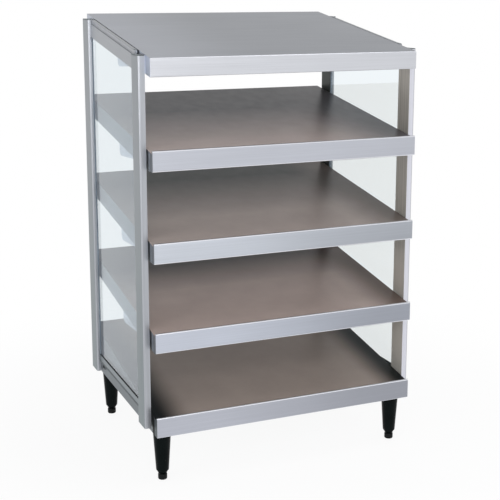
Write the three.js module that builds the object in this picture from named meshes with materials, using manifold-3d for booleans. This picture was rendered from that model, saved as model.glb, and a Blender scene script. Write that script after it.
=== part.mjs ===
// A heated pizza display warmer: three slanted heated shelves and a heated base between four posts, under a slanted top.
// Millimetres, +Z up. The front faces -Y, and the origin is on the floor under the centre of the footprint.
// Pieces are first laid out with y = 0 on the shelves' front faces, and the whole group is then centred.

import * as THREE from 'three';
import { mergeVertices } from 'three/addons/utils/BufferGeometryUtils.js';
import Module from 'manifold-3d';

const wasm = await Module();
wasm.setup();

// Housings and their spacing
const housingWidth = 914; // side wall to side wall
const housingDepth = 734; // shelf front face to rear wall
const slantDegrees = 8.95; // fall of the shelves and the top towards the front
const baseHeight = 168; // floor to the underside of the base
const lowestSpacing = 278.5; // base front to the third shelf's front
const shelfSpacing = 287; // front to front of the upper shelves
const topSpacing = 286; // first shelf's front to the top housing's front
const fasciaHeight = 66;
const topFasciaHeight = 58;
const topSetBack = 7.5; // top housing's front behind the shelves' fronts
const deckDrop = 9; // deck below the rolled edge, at the front
const lipDepth = 55; // level part of a shelf's underside, behind its front

// Sheet metal and clearances
const sheet = 1.5;
const deckThickness = 2;
const bendRadius = 5;
const hemThickness = 8;
const hemReturn = 9; // how far the rolled edge comes down behind, past its bend
const flangeDepth = 18;
const panFlange = 10;
const seatGap = 0.3;
const overrun = 2; // how far a cutter runs past the face that it cuts

// Posts
const postWidth = 21.5;
const postDepth = 72;
const postWall = 2.5;
const postCorner = 6;
const postGap = 3.5; // between a post and the housings' side walls
const frontPostFace = 50.5; // front post's face behind the shelves' fronts
const rearPostInset = 31; // rear post's back in front of the rear walls
const postRise = 16; // post's lower end above the base's underside
const capThickness = 2.5;
const capPlug = 10;
const padDepth = 30; // spacer pads that carry the housings on the posts
const padHeight = 26;

// Glass sides and their rails
const glassThickness = 5;
const glassPlay = 0.5; // on each side of the glass in its groove
const grooveDepth = 9;
const grooveBite = 7; // how deep the glass stands in a groove
const railSetIn = 11; // rail's outer face inside the post's outer face
const topRailHeight = 62;
const railLip = 12; // lip above the rail's shadow groove
const shadowGroove = 5;
const shadowGrooveDepth = 3;
const bottomRailHeight = 20;
const bottomRailRise = 79; // rail's upper face above the base's underside

// Overhead heaters
const hoodDepth = 160; // front to back
const hoodCentre = 280; // behind the shelves' fronts
const hoodRearDrop = 45; // below the underside, at the hood's rear
const hoodFrontDrop = 9;
const hoodCorner = 20;
const hoodSheet = 1.2;
const hoodInset = 5; // hood's end inside the housing's side wall
const mouthMargin = 14; // sheet left in front of the mouth and behind it
const bracketInset = 34; // element bracket inside the hood's end
const guardWire = 3;
const guardSpacing = 72;
const guardOverlap = 5; // guard's long wires past the edges of the mouth
const elementRadius = 5.5;
const elementSetIn = 44; // element's axis in front of the hood's rear
const elementRise = 18; // and above the hood's bottom
const insulatorRadius = 8;
const insulatorLength = 14;
const terminalRadius = 2.5;
const terminalLength = 9;

// Heating pads under the decks
const padInset = 60; // from the housing's sides, front and rear
const padThickness = 3;

// Legs and feet
const legInsetX = 35.5;
const legInsetFront = 62;
const legInsetRear = 66;
const legTopRadius = 29.5;
const legLowRadius = 20.5;
const legShoulderRadius = 16.5;
const legShoulder = 6;
const legBottom = 25; // floor to the leg's lower end
const legFlangeThickness = 4;
const legFlangeRadius = 31;
const studRadius = 4; // leg's stud through the base pan
const studLength = 12;
const footRadius = 15;
const footEdge = 4;
const footNeck = 4; // cone between the foot's pad and its stem
const stemRadius = 6;
const stemLength = 52;
const stemPlay = 0.3;

// Rear controls
const controlInset = 150; // knob's axis from the housing's left side, seen from the front
const switchSpacing = 58; // knob's axis to switch
const controlDrop = 27; // controls' axis below the deck at the rear
const knobRadius = 17;
const knobGripRadius = 12.5;
const knobDepth = 18;
const knobSkirt = 5;
const knobEdge = 1.5;
const knobPointer = 3;
const knobStemRadius = 4;
const knobStemLength = 12;
const rockerWidth = 17;
const rockerHeight = 25;
const rockerProud = 4.5; // rocker's centre line proud of the rear wall
const rockerTilt = 10; // each way from the middle, in degrees
const rockerBody = 8; // behind the wall
const rockerPlay = 0.5;
const switchFrame = 3; // raised frame round the rocker
const switchFrameProud = 2;

// Supply inlet and terminals
const glandInset = 110; // from the housing's right side
const glandRise = 48; // above the base's underside
const glandRadius = 14;
const glandNutRadius = 18;
const glandNutThickness = 7;
const glandLength = 20;
const glandTipRadius = 9;
const glandStemRadius = 10;
const glandStemLength = 8;
const glandRecess = 5; // depth of the closed mouth
const terminalBlockLength = 90;
const terminalBlockWidth = 32;
const terminalBlockHeight = 24;
const terminalBlockSetIn = 60; // from the rear wall
const terminalWays = 5;
const terminalSlot = 4;

// Wiring harness inside the hollow rear post, with a branch into each housing
const loomRadius = 5;
const branchRadius = 3;
const branchReach = 25; // past the housing's side wall

// Numbers of facets
const roundSides = 28;
const smallSides = 16;
const hexagonSides = 6;
const bendSteps = 4;
const weldTolerance = 1e-4; // vertices nearer than this are one vertex

// Places worked out from the sizes above
const slope = Math.tan(THREE.MathUtils.degToRad(slantDegrees));
const halfWidth = housingWidth / 2;
const postInner = halfWidth + postGap;
const postOuter = postInner + postWidth;
const railOuter = postOuter - railSetIn;
const railInner = postInner;
const glassCentre = (railOuter + railInner) / 2;
const frontPostBack = frontPostFace + postDepth;
const rearPostBack = housingDepth - rearPostInset;
const rearPostFace = rearPostBack - postDepth;
const deckRise = fasciaHeight - deckDrop;
const overallDepth = housingDepth + seatGap + Math.max(knobDepth, glandLength);
const fronts = [
  baseHeight + lowestSpacing + shelfSpacing * 2,
  baseHeight + lowestSpacing + shelfSpacing,
  baseHeight + lowestSpacing,
  baseHeight,
]; // underside of each front, shelf 1 uppermost, the base last
const topFront = fronts[0] + topSpacing;
const postBottom = baseHeight + postRise;
const bottomRailTop = baseHeight + bottomRailRise;
const frontPostTop = topPlaneAt(frontPostFace);
const rearPostTop = topPlaneAt(rearPostFace);
const glandX = halfWidth - glandInset;
const glandZ = baseHeight + glandRise;
const legX = halfWidth - legInsetX;
const legRows = [['front', legInsetFront], ['rear', housingDepth - legInsetRear]];

// Materials
function finish(color, roughness, metalness, extra = {}) {
  return new THREE.MeshStandardMaterial({ color, roughness, metalness, ...extra });
}
const stainless = finish('#b9bcc2', 0.38, 0.9);
const aluminium = finish('#a3a5aa', 0.35, 0.85);
const hardcoat = finish('#6d6762', 0.42, 0.4);
const galvanised = finish('#b4b8b8', 0.45, 0.8);
const reflector = finish('#d5d9e2', 0.25, 0.95);
const sheath = finish('#5c5a58', 0.5, 0.7);
const glass = finish('#e6eef0', 0.05, 0, { transparent: true, opacity: 0.25 });
const blackPlastic = finish('#121615', 0.45, 0);
const legBlack = finish('#0d1413', 0.4, 0);
const silicone = finish('#9c4a2c', 0.7, 0);

// Solids: closed geometry to a manifold solid and back
function solid(geometry) {
  const bare = geometry.clone();
  bare.deleteAttribute('normal');
  bare.deleteAttribute('uv');
  const merged = mergeVertices(bare, weldTolerance);
  const corners = merged.index.array;
  const kept = [];
  for (let i = 0; i < corners.length; i += 3) {
    const [a, b, c] = corners.slice(i, i + 3);
    if (a !== b && b !== c && c !== a) kept.push(a, b, c);
  }
  const triVerts = new Uint32Array(kept);
  const vertProperties = new Float32Array(merged.attributes.position.array);
  return new wasm.Manifold(new wasm.Mesh({ numProp: 3, vertProperties, triVerts }));
}

function geometryOf(body) {
  const raw = body.getMesh();
  const geometry = new THREE.BufferGeometry();
  geometry.setAttribute('position', new THREE.BufferAttribute(new Float32Array(raw.vertProperties), 3));
  geometry.setIndex(new THREE.BufferAttribute(new Uint32Array(raw.triVerts), 1));
  geometry.computeVertexNormals();
  return geometry;
}

// Extrusions: an outline of [across, up] points carried along X, Y or Z from one place to another
function shapeOf(outline) {
  return new THREE.Shape(outline.map(([u, v]) => new THREE.Vector2(u, v)));
}

function extrude(shape, from, to, u, v, w) {
  const depth = to - from;
  const geometry = new THREE.ExtrudeGeometry(shape, { depth, bevelEnabled: false, curveSegments: bendSteps });
  geometry.translate(0, 0, from);
  return solid(geometry.applyMatrix4(new THREE.Matrix4().makeBasis(u, v, w)));
}

const axisX = new THREE.Vector3(1, 0, 0);
const axisY = new THREE.Vector3(0, 1, 0);
const axisZ = new THREE.Vector3(0, 0, 1);

function alongX(outline, from, to) {
  return extrude(shapeOf(outline), from, to, axisY, axisZ, axisX);
}

function alongY(outline, from, to) {
  return extrude(shapeOf(outline), -to, -from, axisX, axisZ, axisY.clone().negate());
}

function alongZ(shape, from, to) {
  return extrude(shape, from, to, axisX, axisY, axisZ);
}

function block(x0, x1, y0, y1, z0, z1) {
  return alongX([[y0, z0], [y1, z0], [y1, z1], [y0, z1]], x0, x1);
}

// Solids of revolution: [radius, height] points about Z, or turned to lie along X or Y
function turned(profile, sides = roundSides) {
  const points = profile.map(([radius, height]) => new THREE.Vector2(radius, height));
  const geometry = new THREE.LatheGeometry(points, sides);
  return solid(geometry.rotateX(Math.PI / 2));
}

function rod(radius, from, to, sides = smallSides) {
  return turned([[0, from], [radius, from], [radius, to], [0, to]], sides);
}

function lieAlongX(body) {
  return body.rotate([0, 90, 0]);
}

function lieAlongY(body) {
  return body.rotate([-90, 0, 0]);
}

function arc(centreU, centreV, radius, fromDegrees, toDegrees, steps = bendSteps) {
  const points = [];
  for (let i = 0; i <= steps; i += 1) {
    const angle = THREE.MathUtils.degToRad(fromDegrees + ((toDegrees - fromDegrees) * i) / steps);
    points.push([centreU + radius * Math.cos(angle), centreV + radius * Math.sin(angle)]);
  }
  return points;
}

function joined(bodies) {
  return bodies.reduce((whole, body) => whole.add(body));
}

function mirrored(body) {
  return body.mirror([1, 0, 0]);
}

const warmer = new THREE.Group();
warmer.position.y = -overallDepth / 2;

function place(name, body, material) {
  const mesh = new THREE.Mesh(geometryOf(body), material);
  mesh.name = name;
  warmer.add(mesh);
  return mesh;
}

function placePair(name, body, material) {
  place(`${name}_right`, body, material);
  place(`${name}_left`, mirrored(body), material);
}

// Levels of a shelf at a distance y behind the fronts
function underAt(front, y) {
  return front + slope * Math.max(0, y - lipDepth);
}

function deckAt(front, y) {
  return front + deckRise + slope * y;
}

function topPlaneAt(y) {
  return topFront + topFasciaHeight + slope * (y - topSetBack);
}

function topUnderAt(y) {
  return topPlaneAt(y) - topFasciaHeight;
}

const baseFront = fronts[fronts.length - 1];
const rearFlangeFrom = housingDepth - flangeDepth;

// Wiring: heights at which the branches leave the rear post, the top housing's first and the base's last
const loomX = -(postInner + postOuter) / 2;
const loomY = rearPostFace + postDepth / 2;
const branchHeights = [
  topUnderAt(rearPostFace) + topFasciaHeight / 2,
  ...fronts.slice(0, -1).map((front) => deckAt(front, rearPostFace) - padHeight),
  postBottom + padHeight,
];

function wiringBranch(index, radius, from, to) {
  return lieAlongX(rod(radius, from, to)).translate([0, loomY, branchHeights[index]]);
}

function branchHole(index) {
  return wiringBranch(index, branchRadius + stemPlay, loomX, branchReach - halfWidth);
}

// Posts: hollow extrusions with rounded outer corners and a groove for the glass
function postOutline(front, back, inset) {
  const inner = postInner + inset;
  const outer = postOuter - inset;
  const corner = postCorner - inset;
  return [
    [inner, front + inset],
    ...arc(outer - corner, front + inset + corner, corner, -90, 0),
    ...arc(outer - corner, back - inset - corner, corner, 0, 90),
    [inner, back - inset],
  ];
}

function glassGroove(from, to) {
  const half = glassThickness / 2 + glassPlay;
  return [
    [glassCentre - half, from],
    [glassCentre + half, from],
    [glassCentre + half, to],
    [glassCentre - half, to],
  ];
}

function postCavity(front, back, grooveAtBack, play) {
  const inner = postInner + postWall + play;
  const outer = postOuter - postWall - play;
  const shortened = grooveDepth + postWall + play;
  const from = front + (grooveAtBack ? postWall + play : shortened);
  const to = back - (grooveAtBack ? shortened : postWall + play);
  return [[inner, from], [outer, from], [outer, to], [inner, to]];
}

function post(front, back, top, grooveAtBack) {
  const tall = top - capThickness - seatGap;
  const body = alongZ(shapeOf(postOutline(front, back, 0)), postBottom, tall);
  const cavity = alongZ(
    shapeOf(postCavity(front, back, grooveAtBack, 0)), postBottom - overrun, tall + overrun);
  const grooveFrom = grooveAtBack ? back - grooveDepth : front - overrun;
  const grooveTo = grooveAtBack ? back + overrun : front + grooveDepth;
  const groove = alongZ(shapeOf(glassGroove(grooveFrom, grooveTo)), postBottom - overrun, tall + overrun);
  return body.subtract(cavity).subtract(groove);
}

function postCap(front, back, top, grooveAtBack) {
  const plate = alongZ(shapeOf(postOutline(front, back, 0)), top - capThickness, top);
  const plugTop = top - capThickness + seatGap;
  const plug = alongZ(shapeOf(postCavity(front, back, grooveAtBack, seatGap)), plugTop - capPlug, plugTop);
  return plate.add(plug);
}

placePair('post_front', post(frontPostFace, frontPostBack, frontPostTop, true), aluminium);
const rearPost = post(rearPostFace, rearPostBack, rearPostTop, false);
const wiredPost = branchHeights.reduce((body, height, index) => body.subtract(branchHole(index)), mirrored(rearPost));
place('post_rear_right', rearPost, aluminium);
place('post_rear_left', wiredPost, aluminium);
placePair('post_cap_front', postCap(frontPostFace, frontPostBack, frontPostTop, true), blackPlastic);
placePair('post_cap_rear', postCap(rearPostFace, rearPostBack, rearPostTop, false), blackPlastic);

// Spacer pads on a housing's side walls, one at each post
function spacerPads(zAtFront, zAtRear) {
  const pads = [];
  for (const [face, z] of [[frontPostFace, zAtFront], [rearPostFace, zAtRear]]) {
    const from = face + (postDepth - padDepth) / 2;
    const to = from + padDepth;
    const pad = block(halfWidth - sheet, postInner - seatGap, from, to, z - padHeight / 2, z + padHeight / 2);
    pads.push(pad, mirrored(pad));
  }
  return joined(pads);
}

// Rails: the top pair follows the slant, and the bottom pair is level
const railFrom = frontPostBack + seatGap;
const railTo = rearPostFace - seatGap;
const glassHalf = glassThickness / 2 + glassPlay;

function topRail() {
  const groove = railLip + shadowGroove;
  const outline = [
    [railInner, -topRailHeight],
    [glassCentre - glassHalf, -topRailHeight],
    [glassCentre - glassHalf, grooveDepth - topRailHeight],
    [glassCentre + glassHalf, grooveDepth - topRailHeight],
    [glassCentre + glassHalf, -topRailHeight],
    [railOuter, -topRailHeight],
    [railOuter, -groove],
    [railOuter - shadowGrooveDepth, -groove],
    [railOuter - shadowGrooveDepth, -railLip],
    ...arc(railOuter - shadowGrooveDepth, -shadowGrooveDepth, shadowGrooveDepth, 0, 90),
    [railInner, 0],
  ];
  const level = alongY(outline, railFrom, railTo);
  const shear = [1, 0, 0, 0, 0, 1, slope, 0, 0, 0, 1, 0, 0, 0, topPlaneAt(0), 1];
  return level.transform(shear);
}

function bottomRail() {
  const low = bottomRailTop - bottomRailHeight;
  const outline = [
    [railInner, low],
    [railOuter, low],
    [railOuter, bottomRailTop],
    [glassCentre + glassHalf, bottomRailTop],
    [glassCentre + glassHalf, bottomRailTop - grooveDepth],
    [glassCentre - glassHalf, bottomRailTop - grooveDepth],
    [glassCentre - glassHalf, bottomRailTop],
    [railInner, bottomRailTop],
  ];
  return alongY(outline, railFrom, railTo);
}

placePair('top_rail', topRail(), aluminium);
placePair('bottom_rail', bottomRail(), aluminium);

// Glass sides: one sheet each, standing in the posts' and rails' grooves
function glassSide() {
  const from = frontPostBack - grooveBite;
  const to = rearPostFace + grooveBite;
  const low = bottomRailTop - grooveBite;
  const rise = grooveBite - topRailHeight;
  const outline = [
    [from, low],
    [to, low],
    [to, topPlaneAt(to) + rise],
    [from, topPlaneAt(from) + rise],
  ];
  return alongX(outline, glassCentre - glassThickness / 2, glassCentre + glassThickness / 2);
}

placePair('glass_side', glassSide(), glass);

// Top housing: a bent cover, open below, and the pan that closes it
function topCover() {
  const front = topSetBack;
  const bendY = front + bendRadius;
  const bendZ = topPlaneAt(bendY) - bendRadius / Math.cos(THREE.MathUtils.degToRad(slantDegrees));
  const section = (inset, lowAt) => [
    [front + inset, lowAt(front)],
    ...arc(bendY, bendZ, bendRadius - inset, 180, 90 + slantDegrees),
    [housingDepth - inset, topPlaneAt(housingDepth - inset) - inset],
    [housingDepth - inset, lowAt(housingDepth)],
  ];
  const outer = alongX(section(0, topUnderAt), -halfWidth, halfWidth);
  const belowAt = (y) => topUnderAt(y) - overrun;
  const inner = alongX(section(sheet, belowAt), sheet - halfWidth, halfWidth - sheet);
  const frontFlange = slantedPlate(front, front + flangeDepth, topUnderAt, sheet, halfWidth);
  const rearFlange = slantedPlate(rearFlangeFrom, housingDepth, topUnderAt, sheet, halfWidth);
  const pads = spacerPads(frontPostTop - capThickness - padHeight, branchHeights[0]);
  return joined([outer.subtract(inner), frontFlange, rearFlange, pads]).subtract(branchHole(0));
}

// A plate of constant thickness whose lower face follows a slanted plane
function slantedPlate(from, to, lowAt, thickness, half) {
  const outline = [
    [from, lowAt(from)],
    [to, lowAt(to)],
    [to, lowAt(to) + thickness],
    [from, lowAt(from) + thickness],
  ];
  return alongX(outline, -half, half);
}

// A pan between a housing's flanges, with its own front and rear edges turned up
function pan(from, to, lowAt, turnUp) {
  const half = halfWidth - sheet - seatGap;
  const outline = [
    [from, lowAt(from)],
    [to, lowAt(to)],
    [to, lowAt(to) + turnUp],
    [to - sheet, lowAt(to - sheet) + turnUp],
    [to - sheet, lowAt(to - sheet) + sheet],
    [from + sheet, lowAt(from + sheet) + sheet],
    [from + sheet, lowAt(from + sheet) + turnUp],
    [from, lowAt(from) + turnUp],
  ];
  return alongX(outline, -half, half);
}

place('top_cover', topCover(), stainless);
const topPanFrom = topSetBack + flangeDepth + seatGap;
place('top_pan', pan(topPanFrom, rearFlangeFrom - seatGap, topUnderAt, panFlange), stainless);

// Rear controls, seen from behind: the knob nearer the corner and the switch beside it
const knobX = controlInset - halfWidth;
const switchX = knobX + switchSpacing;

function controlZ(front) {
  return deckAt(front, housingDepth) - controlDrop;
}

function rockerCutter(x, z, grow, from, to) {
  const half = rockerWidth / 2 + grow;
  const tall = rockerHeight / 2 + grow;
  return block(x - half, x + half, from, to, z - tall, z + tall);
}

function withControls(housing, z) {
  const frameFrom = housingDepth - sheet;
  const frame = rockerCutter(
    switchX, z, rockerPlay + switchFrame, frameFrom, housingDepth + switchFrameProud);
  const hole = rockerCutter(
    switchX, z, rockerPlay, frameFrom - overrun, housingDepth + switchFrameProud + overrun);
  const shaft = lieAlongY(rod(knobStemRadius + stemPlay, frameFrom - overrun, housingDepth + overrun));
  return housing.add(frame).subtract(hole).subtract(shaft.translate([knobX, 0, z]));
}

// Front of a housing: one sheet with its upper edge rolled over
function rolledFront(front) {
  const outerRadius = hemThickness / 2;
  const innerRadius = outerRadius - sheet;
  const bendHeight = front + fasciaHeight - outerRadius;
  return alongX([
    [0, front],
    [sheet, front],
    ...arc(outerRadius, bendHeight, innerRadius, 180, 0),
    [hemThickness - sheet, bendHeight - hemReturn],
    [hemThickness, bendHeight - hemReturn],
    ...arc(outerRadius, bendHeight, outerRadius, 0, 180),
  ], -halfWidth, halfWidth);
}

function deckSeatAt(front, y) {
  return deckAt(front, y) - deckThickness - seatGap;
}

function sideWalls(front, lowEdge) {
  const radius = hemThickness / 2;
  const side = alongX([
    ...lowEdge,
    [housingDepth, deckSeatAt(front, housingDepth)],
    [hemThickness, deckSeatAt(front, hemThickness)],
    ...arc(radius, front + fasciaHeight - radius, radius, 0, 180),
  ], halfWidth - sheet, halfWidth);
  return side.add(mirrored(side));
}

function rearWall(front, low) {
  const from = housingDepth - sheet;
  return block(-halfWidth, halfWidth, from, housingDepth, low, deckSeatAt(front, from));
}

// Shelf: a folded tray with a level lip behind its front and a slanted bottom, open above
function shelfTray(front, index) {
  const low = underAt(front, housingDepth);
  const lowEdge = [[0, front], [lipDepth, front], [housingDepth, low]];
  const bottom = alongX([
    ...lowEdge,
    [housingDepth, low + sheet],
    [lipDepth, front + sheet],
    [0, front + sheet],
  ], -halfWidth, halfWidth);
  const rearPad = branchHeights[index + 1];
  const pads = spacerPads(deckAt(front, frontPostFace) - padHeight, rearPad);
  const body = joined([rolledFront(front), bottom, sideWalls(front, lowEdge), rearWall(front, low), pads]);
  return withControls(body, controlZ(front)).subtract(branchHole(index + 1));
}

function deck(front) {
  const from = hemThickness + seatGap;
  const lowAt = (y) => deckAt(front, y) - deckThickness;
  return slantedPlate(from, housingDepth, lowAt, deckThickness, halfWidth);
}

function heatingPad(front) {
  const lowAt = (y) => deckAt(front, y) - deckThickness - seatGap - padThickness;
  return slantedPlate(padInset, housingDepth - padInset, lowAt, padThickness, halfWidth - padInset);
}

// Overhead heater: a hood with a mouth below, element brackets, an element and a wire guard
const hoodFront = hoodCentre - hoodDepth / 2;
const hoodRear = hoodCentre + hoodDepth / 2;
const hoodEnd = halfWidth - hoodInset;
const bracketX = hoodEnd - bracketInset;
const mouthFrom = hoodFront + mouthMargin;
const mouthTo = hoodRear - hoodCorner - mouthMargin;
const elementY = hoodRear - elementSetIn;

function hoodLevels(undersideAt) {
  const ceilingAt = (y) => undersideAt(y) - seatGap;
  const rearLow = ceilingAt(hoodRear) - hoodRearDrop;
  const rise = (ceilingAt(hoodFront) - hoodFrontDrop - rearLow) / hoodDepth;
  const lowAt = (y) => rearLow + rise * (hoodRear - y);
  return { ceilingAt, lowAt, rise };
}

function hoodOutline({ ceilingAt, lowAt, rise }, inset) {
  const angle = Math.atan(rise);
  const centreZ = lowAt(hoodRear) + (hoodCorner * (1 + Math.sin(angle))) / Math.cos(angle);
  const lean = THREE.MathUtils.radToDeg(angle);
  return [
    [hoodFront + inset, lowAt(hoodFront) + inset],
    ...arc(hoodRear - hoodCorner, centreZ, hoodCorner - inset, 270 - lean, 360),
    [hoodRear - inset, ceilingAt(hoodRear) - inset],
    [hoodFront + inset, ceilingAt(hoodFront) - inset],
  ];
}

function heaterHood(undersideAt) {
  const levels = hoodLevels(undersideAt);
  const section = hoodOutline(levels, 0);
  const shell = alongX(section, -hoodEnd, hoodEnd);
  const hollow = alongX(hoodOutline(levels, hoodSheet), hoodSheet - hoodEnd, hoodEnd - hoodSheet);
  const mouthX = bracketX - hoodSheet;
  const mouth = block(
    -mouthX, mouthX, mouthFrom, mouthTo,
    levels.lowAt(hoodRear) - overrun, levels.lowAt(mouthFrom) + hoodSheet + overrun);
  const bracket = alongX(section, bracketX - hoodSheet, bracketX);
  const bore = elementRod(levels, elementRadius + stemPlay, bracketX + overrun);
  return joined([shell.subtract(hollow).subtract(mouth), bracket, mirrored(bracket)]).subtract(bore);
}

function elementRod(levels, radius, reach) {
  return lieAlongX(rod(radius, -reach, reach)).translate([0, elementY, levels.lowAt(elementY) + elementRise]);
}

// Heating element: a metal-sheathed rod with insulators and terminals past its brackets
function heaterElement(undersideAt) {
  const levels = hoodLevels(undersideAt);
  const end = bracketX + seatGap;
  const bodyEnd = end + insulatorLength;
  const tip = bodyEnd + terminalLength;
  const sheathed = elementRod(levels, elementRadius, end);
  const ends = [[insulatorRadius, end, bodyEnd], [terminalRadius, bodyEnd, tip]].map(([radius, from, to]) =>
    lieAlongX(rod(radius, from, to)).translate([0, elementY, levels.lowAt(elementY) + elementRise]));
  return joined([sheathed, ...ends, ...ends.map(mirrored)]);
}

// Guard: two long wires inside the mouth's edges and the cross wires between them
function heaterGuard(undersideAt) {
  const { lowAt } = hoodLevels(undersideAt);
  const wireLowAt = (y) => lowAt(y) + hoodSheet + seatGap;
  const reach = bracketX - hoodSheet - guardWire;
  const from = mouthFrom - guardOverlap;
  const to = mouthTo + guardOverlap;
  const wires = [
    slantedPlate(from - guardWire, from, wireLowAt, guardWire, reach),
    slantedPlate(to, to + guardWire, wireLowAt, guardWire, reach),
  ];
  const count = Math.floor((reach * 2 - guardWire) / guardSpacing);
  for (let i = 0; i <= count; i += 1) {
    const x = (i - count / 2) * guardSpacing;
    wires.push(slantedPlate(from - guardWire, to + guardWire, wireLowAt, guardWire, guardWire / 2).translate([x, 0, 0]));
  }
  return joined(wires);
}

// Knob: skirt, tapered grip with a pointer rib, and a stem through the wall
function knob() {
  const back = seatGap;
  const face = back + knobDepth;
  const profile = [
    [0, -knobStemLength], [knobStemRadius, -knobStemLength], [knobStemRadius, back],
    [knobRadius, back], [knobRadius, back + knobSkirt - knobEdge], [knobRadius - knobEdge, back + knobSkirt],
    [knobGripRadius, back + knobSkirt], [knobGripRadius - knobEdge, face - knobEdge],
    [knobGripRadius - knobEdge * 2, face], [0, face],
  ];
  const body = lieAlongY(turned(profile));
  const reach = knobRadius - knobEdge;
  const rib = block(-knobPointer / 2, knobPointer / 2, back + knobSkirt - knobEdge, face - knobEdge, 0, reach);
  return body.add(rib);
}

// Rocker: ends are arcs about its pivot, so that it turns inside its frame; the face is a shallow V
const rockerPivot = housingDepth;

function rocker() {
  const tilt = THREE.MathUtils.degToRad(rockerTilt);
  const reach = rockerHeight / 2;
  const proudEnd = rockerProud + reach * Math.tan(tilt);
  const endAt = (y) => Math.sqrt(reach * reach - y * y);
  const steps = bendSteps;
  const upper = [];
  for (let i = 0; i <= steps; i += 1) {
    const y = -rockerBody + ((proudEnd + rockerBody) * i) / steps;
    upper.push([y, endAt(y)]);
  }
  const lower = upper.map(([y, z]) => [y, -z]);
  const outline = [...lower, [rockerProud, 0], ...upper.reverse()];
  return alongX(outline, -rockerWidth / 2, rockerWidth / 2).rotate([rockerTilt, 0, 0]);
}

const levelNames = ['shelf_1', 'shelf_2', 'shelf_3', 'base'];
const undersides = [topUnderAt, ...fronts.slice(0, -1).map((front) => (y) => underAt(front, y))];

fronts.forEach((front, index) => {
  const name = levelNames[index];
  const isBase = front === baseFront;
  place(isBase ? 'base_housing' : `${name}_tray`, isBase ? baseHousing() : shelfTray(front, index), stainless);
  place(`${name}_deck`, deck(front), hardcoat);
  place(`${name}_heating_pad`, heatingPad(front), silicone);
  place(`heater_${index + 1}_hood`, heaterHood(undersides[index]), reflector);
  place(`heater_${index + 1}_element`, heaterElement(undersides[index]), sheath);
  place(`heater_${index + 1}_guard`, heaterGuard(undersides[index]), galvanised);
  place(`${name}_knob`, knob().translate([knobX, housingDepth, controlZ(front)]), blackPlastic);
  place(`${name}_switch`, rocker().translate([switchX, rockerPivot, controlZ(front)]), blackPlastic);
});

// Base: a wedge with a level underside, a tall rear wall and a hole for the supply gland
function baseLowAt() {
  return baseFront;
}

function baseHousing() {
  const frontFlange = slantedPlate(0, flangeDepth, baseLowAt, sheet, halfWidth);
  const rearFlange = slantedPlate(rearFlangeFrom, housingDepth, baseLowAt, sheet, halfWidth);
  const lowEdge = [[0, baseFront], [housingDepth, baseFront]];
  const padLevel = branchHeights[branchHeights.length - 1];
  const body = joined([
    rolledFront(baseFront), frontFlange, sideWalls(baseFront, lowEdge),
    rearWall(baseFront, baseFront), rearFlange, spacerPads(padLevel, padLevel),
  ]);
  const wallFrom = housingDepth - sheet - overrun;
  const glandHole = lieAlongY(rod(glandStemRadius + stemPlay, wallFrom, housingDepth + overrun));
  return withControls(body, controlZ(baseFront))
    .subtract(branchHole(branchHeights.length - 1))
    .subtract(glandHole.translate([glandX, 0, glandZ]));
}

// Base pan, with a hole for each leg's stud
function basePan() {
  let body = pan(flangeDepth + seatGap, rearFlangeFrom - seatGap, baseLowAt, panFlange);
  for (const [, y] of legRows) {
    const hole = rod(studRadius + stemPlay, baseFront - overrun, baseFront + sheet + overrun).translate([legX, y, 0]);
    body = body.subtract(hole).subtract(mirrored(hole));
  }
  return body;
}

place('base_pan', basePan(), galvanised);

// Supply gland: nut, tapered body with a closed mouth, and a threaded stem through the wall
function gland() {
  const back = seatGap;
  const nut = back + glandNutThickness;
  const end = back + glandLength;
  const mouth = glandTipRadius - sheet;
  const hexagon = lieAlongY(rod(glandNutRadius, back, nut, hexagonSides));
  const body = lieAlongY(turned([
    [0, -glandStemLength], [glandStemRadius, -glandStemLength], [glandStemRadius, back],
    [glandRadius, back], [glandRadius, nut + sheet], [glandTipRadius, end],
    [mouth, end], [mouth, end - glandRecess], [0, end - glandRecess],
  ], smallSides));
  return hexagon.add(body);
}

place('supply_gland', gland().translate([glandX, housingDepth, glandZ]), blackPlastic);

// Terminal block on the base pan, with one slot for each way
function terminalBlock() {
  const to = housingDepth - terminalBlockSetIn;
  const from = to - terminalBlockWidth;
  const low = baseHeight + sheet + seatGap;
  const top = low + terminalBlockHeight;
  let body = block(-terminalBlockLength / 2, terminalBlockLength / 2, from, to, low, top);
  const pitch = terminalBlockLength / terminalWays;
  for (let i = 0; i < terminalWays; i += 1) {
    const x = (i - (terminalWays - 1) / 2) * pitch;
    body = body.subtract(block(
      x - terminalSlot / 2, x + terminalSlot / 2, from - overrun, to + overrun, top - terminalSlot, top + overrun));
  }
  return body.translate([glandX - terminalBlockLength, 0, 0]);
}

place('terminal_block', terminalBlock(), blackPlastic);

// Wiring harness: a loom up the rear post and a branch into every housing
function wiringHarness() {
  const top = branchHeights[0];
  const bottom = branchHeights[branchHeights.length - 1];
  const loom = rod(loomRadius, bottom - loomRadius, top + loomRadius).translate([loomX, loomY, 0]);
  const branches = branchHeights.map((height, index) =>
    wiringBranch(index, branchRadius, loomX, branchReach - halfWidth));
  return joined([loom, ...branches]);
}

place('wiring_harness', wiringHarness(), blackPlastic);

// Legs and adjustable feet
function leg() {
  const top = baseHeight - seatGap;
  const boreTop = legBottom + stemLength;
  const bore = stemRadius + stemPlay;
  return turned([
    [bore, legBottom], [legShoulderRadius, legBottom], [legLowRadius, legBottom + legShoulder],
    [legTopRadius, top - legFlangeThickness * 2], [legFlangeRadius, top - legFlangeThickness],
    [legFlangeRadius, top], [studRadius, top], [studRadius, top + studLength], [0, top + studLength],
    [0, boreTop], [bore, boreTop], [bore, legBottom],
  ]);
}

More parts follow.
